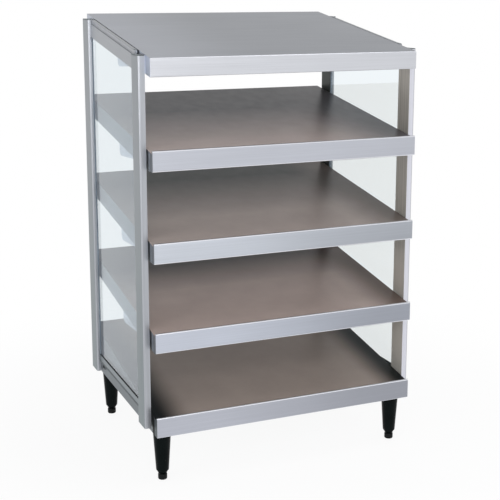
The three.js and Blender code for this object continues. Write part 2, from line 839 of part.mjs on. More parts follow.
function foot() {
  const shoulder = legBottom - seatGap;
  const neck = shoulder - footNeck;
  const stemTop = shoulder + stemLength - footNeck;
  return turned([
    [0, 0], [footRadius - footEdge, 0],
    ...arc(footRadius - footEdge, footEdge, footEdge, -90, 0).slice(1),
    [footRadius, neck], [footRadius - footNeck, shoulder],
    [stemRadius, shoulder], [stemRadius, stemTop], [0, stemTop],
  ]);
}

for (const [row, y] of legRows) {
  placePair(`leg_${row}`, leg().translate([legX, y, 0]), legBlack);
  placePair(`foot_${row}`, foot().translate([legX, y, 0]), blackPlastic);
}

export default warmer;
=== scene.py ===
# Heated pizza display warmer: looks, floor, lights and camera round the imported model
import math

import bpy
from mathutils import Matrix, Vector


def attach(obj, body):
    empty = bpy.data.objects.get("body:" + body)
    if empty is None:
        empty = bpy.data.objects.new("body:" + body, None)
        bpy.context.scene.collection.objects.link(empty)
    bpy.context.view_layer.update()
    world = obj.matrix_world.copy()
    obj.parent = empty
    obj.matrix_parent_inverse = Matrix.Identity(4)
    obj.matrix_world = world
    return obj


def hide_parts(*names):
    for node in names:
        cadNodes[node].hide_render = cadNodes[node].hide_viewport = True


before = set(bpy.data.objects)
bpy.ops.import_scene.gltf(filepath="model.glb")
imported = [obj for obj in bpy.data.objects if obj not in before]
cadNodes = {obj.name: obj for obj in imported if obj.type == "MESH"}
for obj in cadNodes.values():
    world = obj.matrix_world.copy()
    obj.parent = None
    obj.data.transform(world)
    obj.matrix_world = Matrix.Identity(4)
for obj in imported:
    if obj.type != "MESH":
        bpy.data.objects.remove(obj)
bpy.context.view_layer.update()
print("model loaded:", len(cadNodes), "nodes")

mm = 0.001
levels = ["shelf_1", "shelf_2", "shelf_3", "base"]
corners = ["front_left", "front_right", "rear_left", "rear_right"]
sides = {"left": -1, "right": 1}  # with the sign of x on each


# Colours are sRGB hex values, as picked from a photograph or a paint card
def linear(hexColour):
    channels = [int(hexColour[i:i + 2], 16) / 255 for i in (1, 3, 5)]
    return tuple(c / 12.92 if c <= 0.04045 else ((c + 0.055) / 1.055) ** 2.4
                 for c in channels) + (1.0,)


def grey(value):
    return (value, value, value, 1.0)


# A darker or paler shade of a colour
def shade(hexColour, factor, added=0.0):
    return tuple(min(1.0, c * factor + added) for c in linear(hexColour)[:3]) + (1.0,)


# Adds a node with its settings, values and links, and a colour ramp's (position, colour) stops
def addNode(tree, kind, settings=None, values=None, links=None, stops=()):
    made = tree.nodes.new(kind)
    for key, value in (settings or {}).items():
        setattr(made, key, value)
    for key, value in (values or {}).items():
        made.inputs[key].default_value = value
    for key, source in (links or {}).items():
        tree.links.new(source, made.inputs[key])
    for index, (position, colour) in enumerate(stops):
        made.color_ramp.elements[index].position = position
        made.color_ramp.elements[index].color = colour
    return made


# A finish, its tree, its shader, and the place of each point on the piece
def newFinish(name, values):
    finish = bpy.data.materials.new(name)
    finish.use_nodes = True
    tree = finish.node_tree
    shader = tree.nodes["Principled BSDF"]
    for key, value in values.items():
        shader.inputs[key].default_value = value
    place = addNode(tree, "ShaderNodeTexCoord").outputs["Object"]
    return finish, tree, shader, place


# Streaks, lines or bands that run along the axis whose scale is low
def streaksAlong(tree, place, scales, detail, roughness=0.5):
    stretch = addNode(tree, "ShaderNodeMapping", values={"Scale": scales}, links={"Vector": place})
    streaks = addNode(tree, "ShaderNodeTexNoise", links={"Vector": stretch.outputs["Vector"]},
                      values={"Scale": 1.0, "Detail": detail, "Roughness": roughness})
    return streaks.outputs["Fac"]


# Soft clouds that darken a tone here and there, the darkest parts by this factor
def cloudsOver(tree, place, tone, darkest, scale, detail=2.0, roughness=0.5):
    cloud = addNode(tree, "ShaderNodeTexNoise", links={"Vector": place}, values={
        "Scale": scale, "Detail": detail, "Roughness": roughness})
    cover = addNode(tree, "ShaderNodeValToRGB", links={"Fac": cloud.outputs["Fac"]},
                    stops=((0.3, grey(darkest)), (0.7, grey(1.0))))
    clouded = addNode(tree, "ShaderNodeMixRGB", {"blend_type": "MULTIPLY"}, {"Fac": 1.0},
                      {"Color1": tone, "Color2": cover.outputs["Color"]})
    return clouded.outputs["Color"]


# Colour, roughness and relief that follow one pattern. Tones and dull are for its low and its high
# parts, on either side of the stops. Relief is a bump's strength and its depth in metres.
def followPattern(tree, shader, pattern, tones=(), dull=(), relief=(),
                  toneStops=(0.35, 0.65), dullStops=(0.3, 0.7)):
    if tones:
        tone = addNode(tree, "ShaderNodeValToRGB", links={"Fac": pattern},
                       stops=zip(toneStops, tones))
        tree.links.new(tone.outputs["Color"], shader.inputs["Base Color"])
    if dull:
        roughness = addNode(tree, "ShaderNodeValToRGB", links={"Fac": pattern},
                            stops=zip(dullStops, map(grey, dull)))
        tree.links.new(roughness.outputs["Color"], shader.inputs["Roughness"])
    if relief:
        strength, depth = relief
        bump = addNode(tree, "ShaderNodeBump", links={"Height": pattern}, values={
            "Strength": strength, "Distance": depth})
        tree.links.new(bump.outputs["Normal"], shader.inputs["Normal"])


# Stainless 304 with a number 4 brushed finish: fine straight streaks along the sheet, soft
# highlights across them. Real streaks are about 0.1 mm apart and are drawn about 2 mm apart so
# that they show. With a painted shade, the sheet darkens toward one corner, as it does where it is
# lit less.
def brushedStainless(name, colour, brush, roughness=(0.30, 0.42), paintedShade=None):
    finish, tree, shader, place = newFinish(name, {"Metallic": 1.0})
    streaks = streaksAlong(tree, place, brush, detail=4.0, roughness=0.6)
    streakTone = addNode(tree, "ShaderNodeValToRGB", links={"Fac": streaks}, stops=(
        (0.35, shade(colour, factor=0.93)), (0.65, linear(colour))))
    tone = cloudsOver(tree, place, streakTone.outputs["Color"], darkest=0.95, scale=3.2)
    # Painted shade: the tone is darkened toward one corner of the piece
    if paintedShade:
        axes = addNode(tree, "ShaderNodeSeparateXYZ", links={"Vector": place})
        across, down = (addNode(tree, "ShaderNodeMapRange", {"interpolation_type": "SMOOTHSTEP"}, {
            "From Min": paintedShade[axis][0], "From Max": paintedShade[axis][1]}, {
            "Value": axes.outputs[axis]}) for axis in ("X", "Z"))
        corner = addNode(tree, "ShaderNodeMath", {"operation": "MULTIPLY"}, links={
            0: across.outputs["Result"], 1: down.outputs["Result"]})
        paintedShadeTone = addNode(tree, "ShaderNodeValToRGB", links={"Fac": corner.outputs["Value"]},
                           stops=((0.0, grey(1.0)), (1.0, grey(paintedShade["tone"]))))
        paintedShadeMix = addNode(tree, "ShaderNodeMixRGB", {"blend_type": "MULTIPLY"}, {"Fac": 1.0},
                        {"Color1": tone, "Color2": paintedShadeTone.outputs["Color"]})
        tone = paintedShadeMix.outputs["Color"]
    tree.links.new(tone, shader.inputs["Base Color"])
    followPattern(tree, shader, streaks, dull=roughness, relief=(0.06, 0.0004))
    return finish


# Clear anodised aluminium extrusion: satin, with faint die lines along it. With a foot colour, it
# turns to that colour between two heights, as painted shading toward the foot.
paintedFootShading = {"from": 1.1, "to": 0.4}


def anodisedExtrusion(name, colour, dieLines, metallic=0.9, contrast=0.88, foot=None):
    finish, tree, shader, place = newFinish(name, {"Metallic": metallic})
    lines = streaksAlong(tree, place, dieLines, detail=3.0)
    tone = addNode(tree, "ShaderNodeValToRGB", links={"Fac": lines}, stops=(
        (0.35, shade(colour, contrast)), (0.65, linear(colour)))).outputs["Color"]
    # Painted shading: toward the foot the tone turns to the foot colour
    if foot:
        axes = addNode(tree, "ShaderNodeSeparateXYZ", links={"Vector": place})
        down = addNode(tree, "ShaderNodeMapRange", links={"Value": axes.outputs["Z"]}, values={
            "From Min": paintedFootShading["from"], "From Max": paintedFootShading["to"]})
        tone = addNode(tree, "ShaderNodeMixRGB", values={"Color2": linear(foot)}, links={
            "Fac": down.outputs["Result"], "Color1": tone}).outputs["Color"]
    tree.links.new(tone, shader.inputs["Base Color"])
    followPattern(tree, shader, lines, dull=(0.30, 0.40), relief=(0.08, 0.0003))
    return finish


# Hard-anodised deck: dense grey-brown oxide, semi-gloss, faintly clouded and lightly scuffed by
# trays. Its tone turns to a darker one toward the rear, a painted shade under what stands above
# it, and to a third at its right end or both ends, a painted shade and reflection of the dark
# posts.
deckSpan = {"front": -0.37, "rear": 0.36, "end": 0.44}


def hardcoatDeck(name, tones):
    finish, tree, shader, place = newFinish(name, {
        "Metallic": 0.2, "Specular IOR Level": tones["sheen"]})
    axes = addNode(tree, "ShaderNodeSeparateXYZ", links={"Vector": place})
    depth = addNode(tree, "ShaderNodeMapRange", links={"Value": axes.outputs["Y"]}, values={
        "From Min": deckSpan["front"], "From Max": deckSpan["rear"]})
    # Painted shade: darker toward the rear
    depthTone = addNode(tree, "ShaderNodeValToRGB", links={"Fac": depth.outputs["Result"]},
                        stops=zip(tones["stops"], map(linear, (tones["front"], tones["rear"]))))
    across = axes.outputs["X"]
    if tones["bothEnds"]:
        across = addNode(tree, "ShaderNodeMath", {"operation": "ABSOLUTE"},
                         links={0: across}).outputs["Value"]
    # Painted shade and reflection: darker at the right end, or at both ends
    near = addNode(tree, "ShaderNodeMapRange", {"interpolation_type": "SMOOTHSTEP"}, {
        "From Min": tones["endFrom"], "From Max": deckSpan["end"]}, {"Value": across})
    darkened = addNode(tree, "ShaderNodeMixRGB", values={"Color2": linear(tones["end"])}, links={
        "Fac": near.outputs["Result"], "Color1": depthTone.outputs["Color"]})
    clouded = cloudsOver(tree, place, darkened.outputs["Color"], darkest=0.9, scale=9.0,
                         detail=5.0, roughness=0.65)
    tree.links.new(clouded, shader.inputs["Base Color"])
    scuffs = streaksAlong(tree, place, (26.0, 18.0, 26.0), detail=4.0)
    followPattern(tree, shader, scuffs, dull=(0.33, 0.38), dullStops=(0.3, 0.75))
    return finish


# Tempered float glass, 5 mm: clear with a faint cool tint, reflections tinted blue as a painted
# reflection of a cool room, and a slight waviness from the tempering rollers
def temperedGlass(name, tint):
    finish, tree, shader, place = newFinish(name, {
        "Base Color": linear(tint), "Roughness": 0.0, "Transmission Weight": 1.0, "IOR": 1.4,
        "Specular Tint": (0.65, 0.95, 1.5, 1.0)})
    ripple = addNode(tree, "ShaderNodeTexNoise", values={"Scale": 6.0, "Detail": 1.0},
                     links={"Vector": place})
    followPattern(tree, shader, ripple.outputs["Fac"], relief=(0.05, 0.0004))
    return finish


# Bright anodised reflector sheet: nearly a mirror, slightly milky from the oxide
def brightReflector():
    finish, tree, shader, place = newFinish("brightReflector", {"Metallic": 0.95})
    rolling = streaksAlong(tree, place, (2.0, 260.0, 260.0), detail=3.0)
    followPattern(tree, shader, rolling, (linear("#cfd3e0"), linear("#dde0ea")), dull=(0.22, 0.32))
    return finish


# Hot-dip galvanised sheet: zinc spangle a few millimetres across
def galvanisedSheet():
    finish, tree, shader, place = newFinish("galvanisedSheet", {"Metallic": 0.85})
    spangle = addNode(tree, "ShaderNodeTexVoronoi", values={"Scale": 110.0},
                      links={"Vector": place})
    followPattern(tree, shader, spangle.outputs["Color"], (linear("#a3a8aa"), linear("#c1c5c6")),
                  dull=(0.36, 0.5), toneStops=(0.2, 0.8), dullStops=(0.2, 0.8))
    return finish


# Moulded nylon, ABS or rubber: fine spark-eroded grain, about 0.3 mm, drawn at 0.8 mm. A braided
# sleeve gets a coarse and strong one, about 2 mm, for its weave.
def moulded(name, colour, roughness=(0.34, 0.46), grain=1200.0, strength=0.25, specular=0.14):
    finish, tree, shader, place = newFinish(name, {"Specular IOR Level": specular})
    grains = addNode(tree, "ShaderNodeTexNoise", values={"Scale": grain, "Detail": 2.0},
                     links={"Vector": place})
    cloud = addNode(tree, "ShaderNodeTexNoise", values={"Scale": 14.0, "Detail": 2.0},
                    links={"Vector": place})
    paler = shade(colour, factor=1.35, added=0.001)
    followPattern(tree, shader, cloud.outputs["Fac"], (linear(colour), paler), roughness)
    followPattern(tree, shader, grains.outputs["Fac"], relief=(strength, 0.0002))
    return finish


# Nickel-iron sheath of a heating rod: oxidised dark brown-grey with straw and blue heat tints
def heatTintedSheath():
    finish, tree, shader, place = newFinish("heatTintedSheath", {
        "Metallic": 0.8, "Roughness": 0.45})
    bands = streaksAlong(tree, place, (9.0, 40.0, 40.0), detail=4.0)
    followPattern(tree, shader, bands, (linear("#4d4a4b"), linear("#7b6e60")))
    return finish


# Zinc or chrome plated wire and screws: bright, slightly uneven plating
def brightPlating(name, colour):
    finish, tree, shader, place = newFinish(name, {"Metallic": 1.0})
    uneven = addNode(tree, "ShaderNodeTexNoise", values={"Scale": 180.0, "Detail": 2.0},
                     links={"Vector": place})
    darker = shade(colour, factor=0.85)
    followPattern(tree, shader, uneven.outputs["Fac"], (darker, linear(colour)), dull=(0.18, 0.3))
    return finish


# Silicone heating pad: brick red, matt, with the fibreglass weave showing through at about 3 mm
def siliconePad():
    finish, tree, shader, place = newFinish("siliconePad", {"Roughness": 0.7})
    weave = addNode(tree, "ShaderNodeTexVoronoi", {"distance": "CHEBYCHEV"}, {"Scale": 330.0},
                    {"Vector": place})
    followPattern(tree, shader, weave.outputs["Distance"], (linear("#8a3d22"), linear("#a64f30")),
                  relief=(0.3, 0.0003), toneStops=(0.1, 0.8))
    return finish


# Glazed steatite insulator: off-white, smooth, faintly mottled
def glazedCeramic():
    finish, tree, shader, place = newFinish("glazedCeramic", {"Roughness": 0.25})
    mottle = addNode(tree, "ShaderNodeTexNoise", values={"Scale": 260.0, "Detail": 2.0},
                     links={"Vector": place})
    followPattern(tree, shader, mottle.outputs["Fac"], (linear("#d9d4c6"), linear("#e9e5da")))
    return finish


# Etched aluminium dial: satin, with a fine even grain about 0.2 mm across, drawn at 1 mm
def etchedDial():
    finish, tree, shader, place = newFinish("etchedDial", {"Metallic": 0.9})
    grain = addNode(tree, "ShaderNodeTexNoise", values={"Scale": 900.0, "Detail": 2.0},
                    links={"Vector": place})
    followPattern(tree, shader, grain.outputs["Fac"], (linear("#c3c6ca"), linear("#d6d8db")),
                  dull=(0.35, 0.45))
    return finish


# Pad-printed ink: thin and slightly uneven
def dialPrint(name, colour):
    finish, tree, shader, place = newFinish(name, {"Roughness": 0.55})
    uneven = addNode(tree, "ShaderNodeTexNoise", values={"Scale": 700.0, "Detail": 2.0},
                     links={"Vector": place})
    thinner = shade(colour, factor=0.9, added=0.004)
    followPattern(tree, shader, uneven.outputs["Fac"], (thinner, linear(colour)))
    return finish


# The scales of streaks and die lines for each way that they run
brushX, brushY = (3.0, 420.0, 420.0), (420.0, 3.0, 420.0)
dieY, dieZ, coarseDieZ = (420.0, 2.0, 420.0), (420.0, 420.0, 2.0), (150.0, 150.0, 1.0)
millRoughness = (0.38, 0.48)
rubberRoughness = (0.55, 0.68)

# A painted shade grows from the first place to the second on each axis, in metres
topPaintedShade = {"X": (-0.46, -0.05), "Z": (1.0, 1.2), "tone": 0.69}
fasciaPaintedShade = {"X": (-0.35, 0.42), "Z": (1.25, 0.35)}

# Each front's colour, set per level as painted light and shade for how brightly each front is lit,
# and how far its painted shade darkens it toward the lower right
fasciaTones = {"shelf_1": ("#c4c7d0", 0.61), "shelf_2": ("#ccd1da", 0.46),
               "shelf_3": ("#c8cdd9", 0.61), "base": ("#bdc0ca", 0.67)}
# Each level's deck: front tone, painted shade toward the rear and at the ends, and sheen
deckTones = {
    "shelf_1": {"front": "#b3a49f", "rear": "#25242c", "stops": (0.13, 0.62), "end": "#4f4c4f",
                "endFrom": 0.15, "bothEnds": False, "sheen": 0.16},
    "shelf_2": {"front": "#ada09a", "rear": "#16201f", "stops": (0.28, 0.8), "end": "#6b625d",
                "endFrom": 0.25, "bothEnds": False, "sheen": 0.1},
    "shelf_3": {"front": "#b4a39c", "rear": "#3c3735", "stops": (0.42, 0.7), "end": "#665851",
                "endFrom": 0.3, "bothEnds": False, "sheen": 0.12},
    "base": {"front": "#a3968e", "rear": "#9b8f87", "stops": (0.1, 0.9), "end": "#0d1213",
             "endFrom": 0.32, "bothEnds": True, "sheen": 0.12},
}
finishes = {
    # The top's slope gets a painted shade toward the right, and its front a painted lighter tone
    "top": brushedStainless("brushedStainlessTop", "#a4a8b1", brushX, paintedShade=topPaintedShade),
    "topFascia": brushedStainless("brushedStainlessTopFascia", "#d3d5db", brushX),
    "sideSheet": brushedStainless("millStainlessSide", "#a3aab1", brushY, millRoughness),
    # Painted shade: the base's side walls, darker than the shelves' walls
    "baseSidePaintedShade": brushedStainless("millStainlessBaseSidePaintedShade", "#747b80", brushY, millRoughness),
    # Painted shade: the returns behind the shelves' fronts
    "returnPaintedShade": brushedStainless("brushedStainlessReturnPaintedShade", "#777b81", brushY),
    # Painted light: the top cover's ends and the joint strips, lighter than the slope
    "topReturnPaintedLight": brushedStainless("brushedStainlessTopReturnPaintedLight", "#b6bcc8", brushY),
    "rearSheet": brushedStainless("millStainlessRear", "#b2b5ba", brushX, (0.36, 0.46)),
    "post": anodisedExtrusion("anodisedExtrusionPost", "#aeb1b7", dieZ),
    # Painted shade on the posts' outer sides, darker toward the foot
    "postSidePaintedShade": anodisedExtrusion("anodisedExtrusionPostSidePaintedShade", "#8c9196", dieZ, foot="#757f83"),
    # Painted light on the right front post's front
    "postFront": anodisedExtrusion("anodisedExtrusionPostFrontPaintedLight", "#dadbe4", dieZ),
    # Painted reflection of the decks on the front posts' inner faces, lighter toward the foot
    "postInnerPaintedReflection": anodisedExtrusion("anodisedExtrusionPostInnerPaintedReflection", "#c3beb6", coarseDieZ,
                                   metallic=0.55, contrast=0.7, foot="#dedad2"),
    "rail": anodisedExtrusion("anodisedExtrusionRail", "#9fa2a7", dieY),
    "bottomRail": anodisedExtrusion("anodisedExtrusionBottomRail", "#7a8388", dieY),
    # Painted highlight: the fronts' hems and lower bends
    "hemPaintedHighlight": brushedStainless("brushedStainlessBendPaintedHighlight", "#eceef4", brushX, (0.26, 0.34)),
    # Painted shade: the base's returns and the top cover's right end bend
    "darkReturnPaintedShade": brushedStainless("stainlessReturnPaintedShade", "#4d5559", brushY, millRoughness),
    # Painted shade: the rear posts' inner faces, near black
    "postRearPaintedShade": anodisedExtrusion("anodisedExtrusionPostRearPaintedShade", "#141d1b", dieZ, metallic=0.5),
    # The left pane's stronger tint is painted shade, as that pane looks darker seen aslant
    "glassLeft": temperedGlass("temperedGlassLeft", "#e3ebef"),  # more tint, as it is seen aslant
    "glassRight": temperedGlass("temperedGlassRight", "#f0f6f9"),
    "reflector": brightReflector(),
    "galvanised": galvanisedSheet(),
    "leg": moulded("mouldedLegNylon", "#040a0a", (0.2, 0.28), grain=900.0, strength=0.06,
                   specular=0.06),
    "foot": moulded("mouldedFootRubber", "#0b0e0e", (0.45, 0.6)),
    "cap": moulded("mouldedCap", "#5c6265", (0.4, 0.5)),
    "control": moulded("mouldedControl", "#0f1112", (0.38, 0.5)),
    # Black rubber of the glazing gaskets' feet, and a black painted shade on the base's walls by
    # the posts
    "gasketAndPaintedShade": moulded("gasketRubberAndPaintedShade", "#0b0d0e", rubberRoughness),
    "seal": moulded("sealRubber", "#5a5f62", rubberRoughness),
    "greyGasket": moulded("gasketGreyRubber", "#78838e", (0.5, 0.6)),
    "sleeve": moulded("braidedSleeve", "#141516", (0.6, 0.75), grain=500.0, strength=0.6),
    "sheath": heatTintedSheath(),
    "plating": brightPlating("brightPlating", "#c6c8cc"),
    "ceramic": glazedCeramic(),
    "silicone": siliconePad(),
    **{level + "Deck": hardcoatDeck(f"hardcoat_{level}", tones)
       for level, tones in deckTones.items()},
    **{level + "Fascia": brushedStainless(f"brushedStainless_{level}", colour, brushX,
                                          paintedShade={**fasciaPaintedShade, "tone": tone})
       for level, (colour, tone) in fasciaTones.items()},
    "dial": etchedDial(),
    "print": dialPrint("dialPrintBlack", "#14161a"),
    "pointer": dialPrint("dialPrintWhite", "#e9eaec"),
}
print("finishes made:", len(finishes))

# Everything below is in millimetres with y = 0 at the fronts, as the CAD has it, and at() turns it
# into the scene's metres
halfDepth = 377.15
halfWidth = 457.0
rearWall = 734.0
deckRise = 57.0
slope = math.tan(math.radians(8.95))
fronts = {"shelf_1": 1020.5, "shelf_2": 733.5, "shelf_3": 446.5, "base": 168.0}

weldWithin = 0.02 * mm  # points this near each other are one
sameLine = 0.2 * mm  # edges this near a line lie on it
flatWithin = math.radians(0.6)
softFrom = math.radians(32.0)
squarely, broadly = 0.9, 0.7  # how far a face looks along an axis, out of 1


def at(x, y, z):
    return Vector((x * mm, (y - halfDepth) * mm, z * mm))


def deckAt(level, y):
    return fronts[level] + deckRise + slope * y


# Two distances from the middle plane as x values on one side, the lower value first
def between(side, inner, outer):
    return sorted((sides[side] * inner, sides[side] * outer))


def deselectAll():
    bpy.ops.object.select_all(action="DESELECT")


def alone(piece):
    deselectAll()
    piece.select_set(True)
    bpy.context.view_layer.objects.active = piece


def startEdit(piece, mode="FACE"):
    alone(piece)
    bpy.ops.object.mode_set(mode="EDIT")
    bpy.ops.mesh.select_mode(type=mode)


def stopEdit():
    bpy.ops.object.mode_set(mode="OBJECT")


# What was just added, as a piece with its place and size in its mesh
def justAdded(name):
    piece = bpy.context.object
    piece.name = name
    bpy.ops.object.transform_apply(location=True, rotation=True, scale=True)
    return piece


def pickEdges(piece, test):
    points = [vertex.co for vertex in piece.data.vertices]
    for face in piece.data.polygons:
        face.select = False
    for vertex in piece.data.vertices:
        vertex.select = False
    for edge in piece.data.edges:
        edge.select = test(points[edge.vertices[0]], points[edge.vertices[1]])


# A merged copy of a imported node, so that its edges can be softened and its round faces smoothed.
# Its flat faces are joined too, but not on a grille, whose flat faces wrap round open gaps.
def mergedCopy(nodeName, pieceName, joinFlat=True):
    piece = bpy.data.objects.new(pieceName, cadNodes[nodeName].data.copy())
    bpy.context.scene.collection.objects.link(piece)
    piece.data.materials.clear()
    startEdit(piece, "VERT")
    bpy.ops.mesh.select_all(action="SELECT")
    bpy.ops.mesh.customdata_custom_splitnormals_clear()
    bpy.ops.mesh.remove_doubles(threshold=weldWithin)
    if joinFlat:
        bpy.ops.mesh.dissolve_limited(angle_limit=flatWithin)
    stopEdit()
    return piece


def bevelPicked(piece, test, width, segments=3):
    pickEdges(piece, test)
    startEdit(piece, "EDGE")
    bpy.ops.mesh.bevel(offset=width * mm, segments=segments, profile=0.5, affect="EDGES",
                       clamp_overlap=True)
    stopEdit()


# Bends along the lower edge and up both ends of a sheet front whose face is at frontY
frontStyle = {"endMargin": 0.5, "leastRise": 20.0}


def bendFront(piece, frontY, footZ, style):
    endX = (halfWidth - frontStyle["endMargin"]) * mm
    leastRise = frontStyle["leastRise"] * mm
    bevelPicked(piece, lambda a, b: max(a.y, b.y) < frontY + sameLine
                and max(a.z, b.z) < footZ + sameLine, style["lowerBend"])
    bevelPicked(piece, lambda a, b: max(a.y, b.y) < frontY + sameLine
                and min(abs(a.x), abs(b.x)) > endX
                and abs(a.z - b.z) > leastRise, style["endBend"])


def softenEdges(piece, width, segments=2):
    alone(piece)
    bevel = piece.modifiers.new("softEdges", "BEVEL")
    bevel.width = width * mm
    bevel.segments = segments
    bevel.limit_method = "ANGLE"
    bevel.angle_limit = softFrom
    bevel.use_clamp_overlap = True
    bpy.ops.object.modifier_apply(modifier=bevel.name)


# A straight cut all across a piece, at one depth
def cutAcross(piece, placeY):
    startEdit(piece)
    bpy.ops.mesh.select_all(action="SELECT")
    bpy.ops.mesh.bisect(plane_co=(0, placeY, 0), plane_no=(0, 1, 0), use_fill=False)
    stopEdit()


# rules is a list of (finish name, test on a face's centre and normal). The first finish is used
# where no test holds, and the last rule that holds counts.
def dress(piece, finishName, rules=(), smooth=34.0):
    piece.data.materials.clear()
    piece.data.materials.append(finishes[finishName])
    for index, (name, test) in enumerate(rules, start=1):
        piece.data.materials.append(finishes[name])
        for face in piece.data.polygons:
            if test(face.center, face.normal):
                face.material_index = index
    alone(piece)
    bpy.ops.object.shade_smooth_by_angle(angle=math.radians(smooth))
    flatter = piece.modifiers.new("flatterFaces", "WEIGHTED_NORMAL")
    flatter.keep_sharp = True
    bpy.ops.object.modifier_apply(modifier=flatter.name)


# A piece's body, and the imported node that it replaces
def settle(piece, body="cabinet", replaces=None):
    alone(piece)
    bpy.ops.object.transform_apply(location=True, rotation=True, scale=True)
    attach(piece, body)
    if replaces:
        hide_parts(replaces)


# The last steps of a piece: softened edges, its finish, and its body. Its slot name is not used.
def complete(piece, edge, finishName, slotName, body="cabinet", replaces=None,
             segments=2, rules=(), smooth=34.0):
    softenEdges(piece, edge, segments)
    dress(piece, finishName, rules, smooth)
    settle(piece, body, replaces)


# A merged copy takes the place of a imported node
def refinish(nodeName, pieceName, edge, finishName, slotName, joinFlat=True, **options):
    piece = mergedCopy(nodeName, pieceName, joinFlat)
    complete(piece, edge, finishName, slotName, replaces=nodeName, **options)


# A copy with its own mesh, moved to its place
def copied(piece, name, move):
    twin = piece.copy()
    twin.data = piece.data.copy()
    twin.name = name
    twin.data.name = name
    bpy.context.scene.collection.objects.link(twin)
    twin.data.transform(move)
    return twin


def discard(*masters):
    for master in masters:
        bpy.data.objects.remove(master, do_unlink=True)


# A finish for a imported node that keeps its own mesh
def paint(nodeName, finishName):
    slots = cadNodes[nodeName].material_slots
    for slot in slots:
        slot.material = finishes[finishName]
    if not slots:
        cadNodes[nodeName].data.materials.append(finishes[finishName])


def blockPiece(name, low, high):
    deselectAll()
    bpy.ops.mesh.primitive_cube_add(size=1, location=(low + high) / 2, scale=high - low)
    return justAdded(name)


# A letter or number as a thin mesh round the origin
def letterPiece(letter, size, thick):
    deselectAll()
    bpy.ops.object.text_add(location=(0, 0, 0))
    words = bpy.context.object.data
    words.body = letter
    words.size = size * mm
    words.extrude = thick * mm
    words.align_x = "CENTER"
    words.align_y = "CENTER"
    bpy.ops.object.convert(target="MESH")
    return bpy.context.object


# Posts, caps, rails and glass: sharp die edges, softened by about half a millimetre
postStyle = {"edge": 0.5, "capEdge": 0.8, "railEdge": 0.4, "glassEdge": 0.6,
             "flatFront": 0.98, "roundSide": 0.2}
# Each post face gets a painted tone: shade on the outer sides and the right rear post's front,
# black shade on the rear posts' inner faces, a painted reflection on the front posts' inner faces,
# and light on the right front post's front
for corner in corners:
    sideFrom = postStyle["roundSide"] if corner.endswith("right") else squarely
    rules = [("postRearPaintedShade" if corner.startswith("rear") else "postInnerPaintedReflection",
              lambda c, n: abs(n.x) > squarely and n.x * c.x < 0),
             ("postSidePaintedShade", lambda c, n: n.x * c.x > 0 and abs(n.x) > sideFrom)]
    if corner == "rear_right":
        rules.append(("postSidePaintedShade", lambda c, n: n.y < -squarely))
    if corner == "front_right":
        rules.append(("postFront", lambda c, n: n.y < -postStyle["flatFront"]))
    refinish("post_" + corner, "satin_post_" + corner, postStyle["edge"], "post",
             "post_aluminium", rules=rules)
    refinish("post_cap_" + corner, "moulded_cap_" + corner, postStyle["capEdge"], "cap",
             "cap_plastic", segments=3)
for side in sides:
    for kind, finishName in (("top_rail_", "rail"), ("bottom_rail_", "bottomRail")):
        refinish(kind + side, "satin_" + kind + side, postStyle["railEdge"], finishName,
                 "post_aluminium")
    refinish("glass_side_" + side, "polished_glass_" + side, postStyle["glassEdge"],
             "glassLeft" if side == "left" else "glassRight", "side_glass")
print("posts, rails and glass dressed")

# Top cover, with painted light and shade: its front is painted lighter than its slope, as if
# catching the light, its slope darkens toward the right, its ends are painted lighter and its
# right end bend darker
coverStyle = {"lowerBend": 3.0, "endBend": 1.8, "edge": 0.4,
              "frontFrom": 0.6, "cornerX": 0.25, "cornerY": 0.1}
cover = mergedCopy("top_cover", "brushed_top_cover")
coverFront = min(v.co.y for v in cover.data.vertices)
coverFoot = min(v.co.z for v in cover.data.vertices if v.co.y < coverFront + mm)
bendFront(cover, coverFront, coverFoot, coverStyle)
complete(cover, coverStyle["edge"], "top", "stainless", replaces="top_cover", rules=[
    ("topFascia", lambda c, n: n.y < -coverStyle["frontFrom"]),
    ("topReturnPaintedLight", lambda c, n: abs(n.x) > broadly),
    ("darkReturnPaintedShade", lambda c, n: n.x > coverStyle["cornerX"] and n.y < -coverStyle["cornerY"]),
    ("rearSheet", lambda c, n: n.y > squarely)])
refinish("top_pan", "brushed_top_pan", coverStyle["edge"], "rearSheet", "stainless")

# Trays: a folded front with end bends and a painted highlight on its hem and lower bend, a return
# behind it in painted shade, and side walls set in behind that. The base's return and walls get a
# darker painted shade, and a black painted shade on its walls between its return and the front
# posts.
trayStyle = {"lowerBend": 3.4, "endBend": 2.8, "edge": 0.4, "returnDepth": 27.0, "setIn": 0.9,
             "step": 0.6, "stepMargin": 0.5, "wallMargin": 0.01, "wallThick": 2.0,
             "postFront": 50.0, "hemDepth": 4.0, "hemFrom": 0.2, "hemTo": 0.99}


